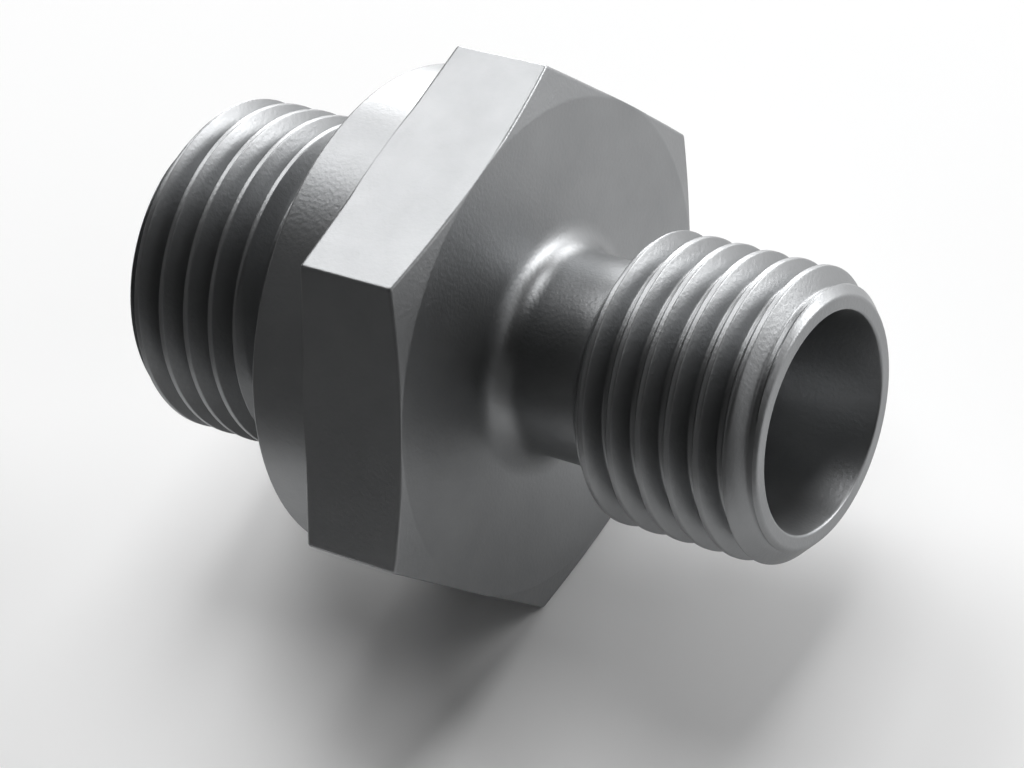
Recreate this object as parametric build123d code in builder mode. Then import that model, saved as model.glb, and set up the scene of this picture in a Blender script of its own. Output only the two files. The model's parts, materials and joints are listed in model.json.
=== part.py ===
"""Straight male stud coupling, turned and milled in one piece from hexagon bar.

Millimetres. +X runs along the bore towards the tube end, and +Z is up: the coupling lies on
one flat of its hexagon. The origin is on the bore's axis, in the plane of the collar's
sealing face, and the stud reaches back from there along -X.
"""
from build123d import *
import math
import os

# Hexagon and collar
hex_across_flats = 24.0
hex_width = 5.5
hex_chamfer_angle = 15.0
hex_face_inset = 0.05
collar_width = 3.0
collar_inset = 0.05

# Stud that screws into the port
stud_length = 11.1
stud_thread_diameter = 16.55
stud_end_chamfer = 0.85
undercut_width = 4.0
undercut_depth = 1.2
undercut_runout_angle = 45.0
undercut_fillet = 0.4

# Neck and tube end
tube_end_length = 14.6
tube_thread_length = 8.9
tube_thread_diameter = 13.8
tube_end_chamfer = 1.05
neck_diameter = 9.8
neck_shoulder_angle = 60.0
neck_fillet = 1.3
neck_shoulder_fillet = 0.4

# Bore: a cone for the cutting ring, a socket for the tube, and a bore for the flow
tube_outside_diameter = 8.0
tube_stop_ledge = 1.0
socket_straight_length = 1.85
cone_included_angle = 24.0
end_lip_width = 0.65
stud_bore_chamfer = 0.5

# Places along the axis
stud_end = -stud_length
stud_thread_start = stud_end + stud_end_chamfer
undercut_start = -undercut_width
undercut_floor_start = undercut_start + undercut_depth / math.tan(math.radians(undercut_runout_angle))
hex_back = collar_width
hex_front = hex_back + hex_width
tube_end = hex_front + tube_end_length
tube_thread_start = tube_end - tube_thread_length
tube_thread_end = tube_end - tube_end_chamfer

# Radii
hex_flat_radius = hex_across_flats / 2
hex_corner_radius = hex_flat_radius / math.cos(math.radians(30))
hex_face_radius = hex_flat_radius - hex_face_inset
collar_radius = hex_flat_radius - collar_inset
stud_radius = stud_thread_diameter / 2
undercut_radius = stud_radius - undercut_depth
tube_radius = tube_thread_diameter / 2
neck_radius = neck_diameter / 2
socket_radius = tube_outside_diameter / 2
bore_radius = socket_radius - tube_stop_ledge
end_face_radius = tube_radius - tube_end_chamfer
mouth_radius = end_face_radius - end_lip_width

# The corner chamfer, the neck's shoulder and the bore's steps
corner_drop = (hex_corner_radius - hex_face_radius) * math.tan(math.radians(hex_chamfer_angle))
shoulder_length = (tube_radius - neck_radius) / math.tan(math.radians(neck_shoulder_angle))
neck_end = tube_thread_start - shoulder_length
cone_depth = (mouth_radius - socket_radius) / math.tan(math.radians(cone_included_angle / 2))
cone_start = tube_end - cone_depth
socket_floor = cone_start - socket_straight_length

same_place = 1e-4


def profile_corner(profile, place, radius):
    """The corner of a turned profile at this place along the axis and this radius."""
    here = profile.vertices().filter_by(lambda corner: abs(corner.X - place) < same_place)
    return here.filter_by(lambda corner: abs(corner.Y - radius) < same_place)


def ring_edge(body, place, radius):
    """The circular edge of this radius at this place along the axis."""
    rings = body.edges().filter_by(GeomType.CIRCLE)
    here = rings.filter_by(lambda edge: abs(edge.arc_center.X - place) < same_place)
    return here.filter_by(lambda edge: abs(edge.radius - radius) < same_place)


with BuildPart() as coupling_body:
    # Hexagon, flats up and down
    with BuildSketch(Plane.YZ.offset(hex_back)):
        RegularPolygon(radius=hex_flat_radius, side_count=6, major_radius=False)
    extrude(amount=hex_width)

    # Its front corners are turned down to a circle that almost touches the flats
    with BuildSketch(Plane.XZ):
        with BuildLine():
            Polyline(
                (hex_back, 0),
                (hex_back, hex_corner_radius),
                (hex_front - corner_drop, hex_corner_radius),
                (hex_front, hex_face_radius),
                (hex_front, 0),
                close=True,
            )
        make_face()
    revolve(axis=Axis.X, mode=Mode.INTERSECT)

    # Stud, undercut, collar, neck and tube end
    with BuildSketch(Plane.XZ) as turned_profile:
        with BuildLine():
            Polyline(
                (stud_end, 0),
                (stud_end, stud_radius - stud_end_chamfer),
                (stud_thread_start, stud_radius),
                (undercut_start, stud_radius),
                (undercut_floor_start, undercut_radius),
                (0, undercut_radius),
                (0, collar_radius),
                (hex_back, collar_radius),
                (hex_back, neck_radius),
                (neck_end, neck_radius),
                (tube_thread_start, tube_radius),
                (tube_thread_end, tube_radius),
                (tube_end, end_face_radius),
                (tube_end, 0),
                close=True,
            )
        make_face()
        fillet(profile_corner(turned_profile, 0, undercut_radius), radius=undercut_fillet)
        fillet(profile_corner(turned_profile, neck_end, neck_radius), radius=neck_shoulder_fillet)
    revolve(axis=Axis.X)
    fillet(ring_edge(coupling_body, hex_front, neck_radius), radius=neck_fillet)

    # Bore, tube socket and cone
    with BuildSketch(Plane.XZ):
        with BuildLine():
            Polyline(
                (stud_end, 0),
                (stud_end, bore_radius + stud_bore_chamfer),
                (stud_end + stud_bore_chamfer, bore_radius),
                (socket_floor, bore_radius),
                (socket_floor, socket_radius),
                (cone_start, socket_radius),
                (tube_end, mouth_radius),
                (tube_end, 0),
                close=True,
            )
        make_face()
    revolve(axis=Axis.X, mode=Mode.SUBTRACT)

coupling_body.part.label = "coupling_body"
os.makedirs("parts", exist_ok=True)
export_step(coupling_body.part, "parts/coupling_body.step")
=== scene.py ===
"""Looks of the straight male stud coupling: its two threads, the steel, the floor, lamps and camera.

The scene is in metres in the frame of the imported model: +X runs along the bore towards the tube
end, and +Z points up out of the upper flat of the hexagon. Sizes are named in millimetres.
"""

import json
import math

import bpy
from mathutils import Matrix, Vector


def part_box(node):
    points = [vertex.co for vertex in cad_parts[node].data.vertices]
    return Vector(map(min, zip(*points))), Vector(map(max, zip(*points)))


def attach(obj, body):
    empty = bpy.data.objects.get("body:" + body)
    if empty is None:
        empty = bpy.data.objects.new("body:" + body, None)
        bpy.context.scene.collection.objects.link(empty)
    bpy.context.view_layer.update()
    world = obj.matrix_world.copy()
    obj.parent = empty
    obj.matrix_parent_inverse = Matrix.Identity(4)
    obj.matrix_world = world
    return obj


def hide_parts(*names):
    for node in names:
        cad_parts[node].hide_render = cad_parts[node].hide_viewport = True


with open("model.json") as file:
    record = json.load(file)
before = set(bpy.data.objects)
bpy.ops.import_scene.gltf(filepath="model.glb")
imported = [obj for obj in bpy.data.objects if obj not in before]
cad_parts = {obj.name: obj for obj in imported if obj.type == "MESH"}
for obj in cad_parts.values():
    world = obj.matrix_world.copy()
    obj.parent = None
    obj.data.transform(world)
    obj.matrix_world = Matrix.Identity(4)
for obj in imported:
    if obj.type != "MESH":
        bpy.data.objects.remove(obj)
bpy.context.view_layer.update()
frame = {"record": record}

mm = 0.001
mounts = {mount["name"]: mount for mount in frame["record"]["mounts"]}
lowest, highest = (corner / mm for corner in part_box("coupling_body"))


def mount_radius(name):
    """The radius of a round mount, in millimetres."""
    return mounts[name]["dims"]["r_mm"]


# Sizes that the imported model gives
stud_end = lowest.x
tube_end = highest.x
floor_height = lowest.z
hex_flat_radius = highest.z
stud_radius = mount_radius("stud_thread")
tube_radius = mount_radius("tube_end_thread")
socket_radius = mount_radius("tube_socket")
bore_radius = mount_radius("through_bore")

# Collar and hexagon
collar_width = 3.0
hex_width = 5.5
face_inset = 0.05
corner_chamfer_angle = math.radians(15)
half_side_angle = math.radians(30)
hex_back = collar_width
hex_front = hex_back + hex_width
hex_corner_radius = hex_flat_radius / math.cos(half_side_angle)
collar_radius = hex_flat_radius - face_inset

# Stud, with an undercut that runs out at 45 degrees
stud_chamfer = 0.85
undercut_width = 4.0
undercut_depth = 1.2
undercut_fillet = 0.4
undercut_start = -undercut_width
undercut_floor_start = undercut_start + undercut_depth
undercut_radius = stud_radius - undercut_depth

# Neck and tube end
neck_radius = 4.9
neck_fillet = 1.3
neck_shoulder_fillet = 0.4
neck_shoulder_angle = math.radians(60)
tube_thread_length = 8.9
tube_chamfer = 1.05
end_lip_width = 0.65
shoulder_slope = math.tan(neck_shoulder_angle)
tube_thread_start = tube_end - tube_thread_length
neck_end = tube_thread_start - (tube_radius - neck_radius) / shoulder_slope
end_face_radius = tube_radius - tube_chamfer
mouth_radius = end_face_radius - end_lip_width

# Bore
cone_half_angle = math.radians(12)
socket_length = 1.85
stud_bore_chamfer = 0.5
cone_start = tube_end - (mouth_radius - socket_radius) / math.tan(cone_half_angle)
socket_floor = cone_start - socket_length

# Small roundings, which the plain solid doesn't have
undercut_rounding = 0.2
collar_rounding = 0.15
hex_edge_rounding = 0.18
hex_face_rounding = 0.6
rim_rounding = 0.28
mouth_rounding = 0.12
cone_rounding = 0.3
inner_rounding = 0.06
stud_bore_rounding = 0.1

# How an outline's roundings are divided: a large fillet has more steps, an arc takes no more than a
# share of the shorter side beside it, and the close point beyond an end of it no more than a share
# of the side that it is on
arc_steps = 4
fillet_steps = 10
least_fillet = 0.9
most_reach = 0.45
support_width = 0.05
most_support = 0.04

# Mesh columns round the axis, with close ones at these shares of a rounded corner's half angle
column_count = 192
close_columns = (-1.6, -1, -0.5, 0.5, 1, 1.6)
corner_set_back = hex_edge_rounding * math.sin(half_side_angle) * math.tan(half_side_angle)
corner_half_angle = math.atan(
    hex_edge_rounding * math.sin(half_side_angle) / (hex_corner_radius - corner_set_back)
)

# Both threads: their crests are placed at the crest angle, from +Y towards +Z, as the camera sees
# them, and what is nearer to the ring at a thread's end than the snap joins that ring
thread_pitch = 1.5
thread_flank_angle = math.radians(29)
crest_angle = math.radians(120)
longest_step = thread_pitch / 14
snap = thread_pitch / 60

# The stud's thread, which ends a gap before the undercut's floor
stud_crest_place = -7.09
stud_thread_depth = 0.95
stud_crest_width = 0.24
stud_crest_rounding = 0.07
stud_root_rounding = 0.09
stud_runout_gap = 0.17
stud_blend = 0.03
stud_core_gap = 0.1
stud_runout_end = undercut_floor_start - stud_runout_gap

# The tube end's thread, from where the shoulder has risen to a gap before the end face
tube_crest_place = 18.93
tube_thread_depth = 0.88
tube_crest_width = 0.26
tube_crest_rounding = 0.09
tube_root_rounding = 0.12
tube_runin_rise = 0.9
tube_chamfer_gap = 0.17
tube_blend = 0.1
tube_runin_start = neck_end + tube_runin_rise / shoulder_slope
tube_chamfer_end = tube_end - tube_chamfer_gap

# The steel's mesh edges are sharp from this angle up
sharp_angle = math.radians(32)

# The steel's shades, and the scale of its changes of shade and gloss and of its orange peel
dark_steel = (0.245, 0.25, 0.255, 1)
light_steel = (0.275, 0.28, 0.285, 1)
least_roughness = 0.38
most_roughness = 0.44
shade_scale = 260.0
gloss_scale = 900.0
peel_scale = 5200.0
peel_height = 0.00002

# Floor, card and room
floor_size = 3.0
floor_grey = (0.93, 0.93, 0.93, 1)
card_grey = (0.08, 0.08, 0.08, 1)
room_grey = (0.01, 0.01, 0.01, 1)

# Soft lights, in metres
soft_light_size = 0.5
soft_light_distance = 1.0


def thread_turn(depth, crest_width, crest_rounding, root_rounding):
    """One turn of a thread as points (way along the axis from a crest's middle, depth)."""
    half_crest = crest_width / 2
    flank = depth * math.tan(thread_flank_angle)
    corners = [
        (0, 0, 0),
        (half_crest, 0, crest_rounding),
        (half_crest + flank, depth, root_rounding),
        (thread_pitch - half_crest - flank, depth, root_rounding),
        (thread_pitch - half_crest, 0, crest_rounding),
        (thread_pitch, 0, 0),
    ]
    outline = rounded(corners)
    turn = [outline[0]]
    for before, after in zip(outline, outline[1:]):
        cuts = max(1, round(math.dist(before, after) / longest_step))
        for cut in range(1, cuts + 1):
            turn.append(tuple(a + (b - a) * cut / cuts for a, b in zip(before, after)))
    return turn


def rounded(corners):
    """The outline through corners (x, r, rounding), with an arc and close points at each rounding."""
    points = [corners[0][:2]]
    for before, here, after in zip(corners, corners[1:], corners[2:]):
        corner = Vector(here[:2])
        back, ahead = Vector(before[:2]) - corner, Vector(after[:2]) - corner
        if here[2] == 0:
            points.append(tuple(corner))
            continue
        half_angle = back.angle(ahead) / 2
        shortest = min(back.length, ahead.length)
        reach = min(here[2] / math.tan(half_angle), most_reach * shortest)
        radius = reach * math.tan(half_angle)
        back_support = min(support_width, most_support * back.length)
        ahead_support = min(support_width, most_support * ahead.length)
        back.normalize()
        ahead.normalize()
        centre = corner + (back + ahead).normalized() * radius / math.sin(half_angle)
        start, end = corner + back * reach - centre, corner + ahead * reach - centre
        turn = math.pi - 2 * half_angle
        steps = fillet_steps if here[2] > least_fillet else arc_steps
        points.append(tuple(corner + back * (reach + back_support)))
        for step in range(steps + 1):
            share = step / steps
            arm = start * math.sin((1 - share) * turn) + end * math.sin(share * turn)
            points.append(tuple(centre + arm / math.sin(turn)))
        points.append(tuple(corner + ahead * (reach + ahead_support)))
    points.append(corners[-1][:2])
    return points


def smooth_least(a, b, blend):
    """The lesser of two values, with a rounded change-over about blend wide."""
    share = max(0.0, min(1.0, 0.5 + 0.5 * (b - a) / blend))
    return b + (a - b) * share - blend * share * (1 - share)


class Thread:
    """A right-hand thread that is cut into a turned outline."""

    def __init__(self, radius, crest_place, turn, outline, blend):
        self.radius = radius
        self.crest_place = crest_place
        self.turn = turn
        self.outline = outline
        self.blend = blend

    def crest(self, angle):
        """The place along the axis of the middle of a crest, at this angle from +Y towards +Z."""
        return self.crest_place + thread_pitch * (angle - crest_angle) / math.tau

    def depth(self, x, angle):
        """How far the thread lies under its outside here."""
        way = (x - self.crest(angle)) % thread_pitch
        for before, after in zip(self.turn, self.turn[1:]):
            if way <= after[0]:
                share = (way - before[0]) / (after[0] - before[0])
                return before[1] + (after[1] - before[1]) * share
        return 0.0

    def surface(self, x, angle):
        """The radius of the threaded surface here."""
        return smooth_least(self.radius - self.depth(x, angle), self.outline(x), self.blend)


def stud_outline(x):
    """The turned outline that limits the stud's thread: the end chamfer and the undercut's run-out."""
    chamfer = stud_radius - stud_chamfer + (x - stud_end)
    runout = stud_radius - (x - undercut_start)
    return min(chamfer, runout)


def tube_outline(x):
    """The turned outline that limits the tube end's thread: the neck's shoulder and the end chamfer."""
    shoulder = neck_radius + (x - neck_end) * shoulder_slope
    chamfer = end_face_radius + (tube_end - x)
    return min(shoulder, chamfer)


stud_thread = Thread(
    radius=stud_radius,
    crest_place=stud_crest_place,
    turn=thread_turn(stud_thread_depth, stud_crest_width, stud_crest_rounding, stud_root_rounding),
    outline=stud_outline,
    blend=stud_blend,
)
tube_thread = Thread(
    radius=tube_radius,
    crest_place=tube_crest_place,
    turn=thread_turn(tube_thread_depth, tube_crest_width, tube_crest_rounding, tube_root_rounding),
    outline=tube_outline,
    blend=tube_blend,
)


def hexagon_radius(angle):
    """The hexagon's outline at this angle, with its six long edges rounded."""
    side_angle = 2 * half_side_angle
    from_corner = abs((angle + half_side_angle) % side_angle - half_side_angle)
    if from_corner >= corner_half_angle:
        return hex_flat_radius / math.cos(half_side_angle - from_corner)
    centre = hex_corner_radius - hex_edge_rounding / math.cos(half_side_angle)
    sideways = centre * math.sin(from_corner)
    return centre * math.cos(from_corner) + math.sqrt(hex_edge_rounding**2 - sideways**2)


def column_angles():
    """The angles of the mesh's columns."""
    even = {round(math.tau * i / column_count, 6) for i in range(column_count)}
    close = set()
    for corner in range(6):
        middle = corner * math.tau / 6
        for share in close_columns:
            close.add(round((middle + share * corner_half_angle) % math.tau, 6))
    return sorted(even | close)


def collar_and_hexagon(angle):
    """The outline from the stud's run-out over the collar and the hexagon to the neck's shoulder."""
    hexagon = hexagon_radius(angle)
    chamfer_start = hex_front - (hexagon - collar_radius) * math.tan(corner_chamfer_angle)
    return rounded([
        (stud_runout_end, stud_outline(stud_runout_end), 0),
        (undercut_floor_start, undercut_radius, undercut_rounding),
        (0, undercut_radius, undercut_fillet),
        (0, collar_radius, collar_rounding),
        (hex_back, collar_radius, inner_rounding),
        (hex_back, hexagon, hex_edge_rounding),
        (chamfer_start, hexagon, hex_edge_rounding),
        (hex_front, collar_radius, hex_face_rounding),
        (hex_front, neck_radius, neck_fillet),
        (neck_end, neck_radius, neck_shoulder_fillet),
        (tube_runin_start, tube_outline(tube_runin_start), 0),
    ])


def end_faces_and_bore():
    """The outline from the tube end's chamfer through the bore to the face of the stud's end."""
    return rounded([
        (tube_chamfer_end, tube_outline(tube_chamfer_end), 0),
        (tube_end, end_face_radius, rim_rounding),
        (tube_end, mouth_radius, mouth_rounding),
        (cone_start, socket_radius, cone_rounding),
        (socket_floor, socket_radius, inner_rounding),
        (socket_floor, bore_radius, inner_rounding),
        (stud_end + stud_bore_chamfer, bore_radius, stud_bore_rounding),
        (stud_end, bore_radius + stud_bore_chamfer, stud_bore_rounding),
        (stud_end, stud_radius - stud_thread_depth - stud_core_gap, 0),
    ])


class BodyMesh:
    """Collects the points and faces of the whole body."""

    def __init__(self):
        self.angles = column_angles()
        self.points = []
        self.faces = []

    def point(self, x, radius, angle):
        """Adds a point and returns its number."""
        self.points.append((x * mm, radius * math.cos(angle) * mm, radius * math.sin(angle) * mm))
        return len(self.points) - 1

    def lathe(self, outlines):
        """Adds a turned stretch, given one outline for each column, and returns its first and last ring."""
        rings = []
        for row in zip(*outlines):
            rings.append([self.point(x, r, angle) for (x, r), angle in zip(row, self.angles)])
        for low, high in zip(rings, rings[1:]):
            self.join(low, high)
        return rings[0], rings[-1]

    def join(self, low, high):
        """Adds the faces between two rings."""
        for i in range(len(low)):
            j = (i + 1) % len(low)
            self.faces.append((low[i], high[i], high[j], low[j]))

    def cut_thread(self, thread, start_ring, start, end_ring, end):
        """Adds a thread between two rings, in rows that follow the helix.

        After one turn round the axis, a row goes on as the row one pitch further.
        """
        rows = [way for way, depth in thread.turn[:-1]]
        made = {}

        def place(column, row):
            turn, step = divmod(row, len(rows))
            return thread.crest(self.angles[column]) + thread_pitch * turn + rows[step]

        def vertex(column, row):
            if column == len(self.angles):
                column, row = 0, row + len(rows)
            x = place(column, row)
            if x < start + snap:
                return start_ring[column]
            if x > end - snap:
                return end_ring[column]
            if (column, row) not in made:
                angle = self.angles[column]
                made[column, row] = self.point(x, thread.surface(x, angle), angle)
            return made[column, row]

        first = math.floor((start - thread.crest(math.tau)) / thread_pitch) * len(rows)
        last = math.ceil((end - thread.crest(0)) / thread_pitch) * len(rows)
        for column in range(len(self.angles)):
            for row in range(first, last):
                around = (
                    vertex(column, row),
                    vertex(column, row + 1),
                    vertex(column + 1, row + 1),
                    vertex(column + 1, row),
                )
                face = tuple(dict.fromkeys(around))
                if len(face) > 2:
                    self.faces.append(face)


def make_body():
    """The whole coupling as one mesh that stands for the plain solid."""
    body = BodyMesh()
    stud_start_ring = [body.point(stud_end, stud_thread.surface(stud_end, a), a) for a in body.angles]
    middle_start, middle_end = body.lathe([collar_and_hexagon(a) for a in body.angles])
    bore_outline = end_faces_and_bore()
    bore_start, bore_end = body.lathe([bore_outline] * len(body.angles))
    body.cut_thread(stud_thread, stud_start_ring, stud_end, middle_start, stud_runout_end)
    body.cut_thread(tube_thread, middle_end, tube_runin_start, bore_start, tube_chamfer_end)
    body.join(bore_end, stud_start_ring)

    mesh = bpy.data.meshes.new("threaded_body")
    mesh.from_pydata(body.points, [], body.faces)
    mesh.validate()
    mesh.shade_smooth()
    mesh.set_sharp_from_angle(angle=sharp_angle)
    piece = bpy.data.objects.new("threaded_body", mesh)
    bpy.context.scene.collection.objects.link(piece)
    piece.data.materials.append(plated_steel())
    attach(piece, "root")
    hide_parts("coupling_body")


def node(tree, kind, **values):
    """Adds a shader node and sets its plain settings and its unlinked inputs."""
    made = tree.nodes.new(kind)
    for name, value in values.items():
        if name in made.inputs:
            made.inputs[name].default_value = value
        else:
            setattr(made, name, value)
    return made


def plated_steel():
    """Satin plated steel: a fine orange peel, and slight changes of shade and gloss."""
    material = bpy.data.materials.new("plated_steel")
    material.use_nodes = True
    tree = material.node_tree
    shader = tree.nodes["Principled BSDF"]
    shader.inputs["Metallic"].default_value = 1.0
    place = node(tree, "ShaderNodeTexCoord").outputs["Object"]

    cloud = node(tree, "ShaderNodeTexNoise", Scale=shade_scale, Detail=4.0, Roughness=0.6)
    shade = node(tree, "ShaderNodeValToRGB")
    shade.color_ramp.elements[0].position = 0.3
    shade.color_ramp.elements[0].color = dark_steel
    shade.color_ramp.elements[1].position = 0.7
    shade.color_ramp.elements[1].color = light_steel
    tree.links.new(place, cloud.inputs["Vector"])
    tree.links.new(cloud.outputs["Fac"], shade.inputs["Fac"])
    tree.links.new(shade.outputs["Color"], shader.inputs["Base Color"])

    gloss = node(tree, "ShaderNodeTexNoise", Scale=gloss_scale, Detail=3.0)
    rough = node(tree, "ShaderNodeMapRange", **{"To Min": least_roughness, "To Max": most_roughness})
    tree.links.new(place, gloss.inputs["Vector"])
    tree.links.new(gloss.outputs["Fac"], rough.inputs["Value"])
    tree.links.new(rough.outputs["Result"], shader.inputs["Roughness"])

    peel = node(tree, "ShaderNodeTexNoise", Scale=peel_scale, Detail=2.0)
    bump = node(tree, "ShaderNodeBump", Strength=0.6, Distance=peel_height)
    tree.links.new(place, peel.inputs["Vector"])
    tree.links.new(peel.outputs["Fac"], bump.inputs["Height"])
    tree.links.new(bump.outputs["Normal"], shader.inputs["Normal"])
    return material


def matt(name, grey):
    """A plain matt material."""
    material = bpy.data.materials.new(name)
    material.use_nodes = True
    shader = material.node_tree.nodes["Principled BSDF"]
    shader.inputs["Base Color"].default_value = grey
    shader.inputs["Roughness"].default_value = 1.0
    shader.inputs["Specular IOR Level"].default_value = 0.0
    return material


def make_floor():
    """The pale plain floor that the coupling lies on."""
    bpy.ops.mesh.primitive_plane_add(size=floor_size, location=(0, 0, floor_height * mm))
    floor = bpy.context.object
    floor.name = "floor"
    floor.data.materials.append(matt("floor", floor_grey))


def make_dark_card():
    """A dark card that stands on the floor, in half a ring round the coupling's front.

    The coupling's lower half mirrors it, and the camera doesn't see it.
    """
    middle, radius, top = 6.0, 55.0, 30.0
    steps = 24
    points, faces = [], []
    for step in range(steps + 1):
        angle = math.pi * (step / steps - 1)
        x, y = middle + radius * math.cos(angle), radius * math.sin(angle)
        points += [(x * mm, y * mm, floor_height * mm), (x * mm, y * mm, top * mm)]
    for step in range(steps):
        faces.append((2 * step, 2 * step + 2, 2 * step + 3, 2 * step + 1))
    mesh = bpy.data.meshes.new("dark_card")
    mesh.from_pydata(points, [], faces)
    mesh.materials.append(matt("dark_card", card_grey))
    card = bpy.data.objects.new("dark_card", mesh)
    bpy.context.scene.collection.objects.link(card)
    card.visible_camera = False


def make_camera():
    """A camera that sees the coupling as the photograph does: from its tube end, above and in front.

    The photograph has a corner of the hexagon on top, and the coupling lies on a flat here, so the
    whole camera is turned by half a side of the hexagon about the coupling's axis. Distances are in
    millimetres.
    """
    azimuth = math.radians(34.835)
    elevation = math.radians(24.091)
    distance = 162.29
    aim_right, aim_up = 2.55, -2.94
    back = Vector((
        math.sin(azimuth) * math.cos(elevation),
        -math.cos(azimuth) * math.cos(elevation),
        math.sin(elevation),
    ))
    right = Vector((0, 0, 1)).cross(back).normalized()
    up = back.cross(right)
    aim = Vector((hex_back, 0, 0)) + right * aim_right + up * aim_up
    stand = Matrix((right, up, back)).transposed().to_4x4()
    stand.translation = (aim + back * distance) * mm
    turn = Matrix.Rotation(-half_side_angle, 4, "X")
    data = bpy.data.cameras.new("camera")
    data.sensor_width = 36.0
    data.lens = 119.83
    data.clip_start = 0.01
    data.clip_end = 20.0
    camera = bpy.data.objects.new("camera", data)
    camera.matrix_world = turn @ stand
    bpy.context.scene.collection.objects.link(camera)
    bpy.context.scene.camera = camera


def make_world():
    """A dim grey room."""
    world = bpy.data.worlds.new("studio")
    world.use_nodes = True
    world.node_tree.nodes["Background"].inputs["Color"].default_value = room_grey
    bpy.context.scene.world = world


def direction_to(azimuth, elevation):
    """The direction at this azimuth from +X towards +Y and this elevation, in degrees."""
    azimuth, elevation = math.radians(azimuth), math.radians(elevation)
    level = math.cos(elevation)
    return Vector((level * math.cos(azimuth), level * math.sin(azimuth), math.sin(elevation)))


def make_soft_light(name, azimuth, elevation, power):
    """A square soft light that faces the coupling from this direction, with its power in watts."""
    direction = direction_to(azimuth, elevation)
    data = bpy.data.lights.new(name, "AREA")
    data.shape = "SQUARE"
    data.size = soft_light_size
    data.energy = power
    light = bpy.data.objects.new(name, data)
    light.location = direction * soft_light_distance
    light.rotation_mode = "QUATERNION"
    light.rotation_quaternion = direction.to_track_quat("Z", "Y")
    bpy.context.scene.collection.objects.link(light)


def make_lights():
    """The key light stands behind and above, so that the shadow falls to the front."""
    make_soft_light("key", 90, 60, power=4.4)
    make_soft_light("left", 143, 47, power=3.8)
    make_soft_light("back_right", 48, 8, power=8.0)
    make_soft_light("back", 88, 10, power=6.5)
    make_soft_light("back_left", 120, 9, power=7.0)
    make_soft_light("right", 5, 30, power=0.8)
    make_soft_light("front", -140, 35, power=0.15)


make_camera()
make_body()
make_floor()
make_dark_card()
make_world()
make_lights()
bpy.context.scene.view_settings.view_transform = "Standard"
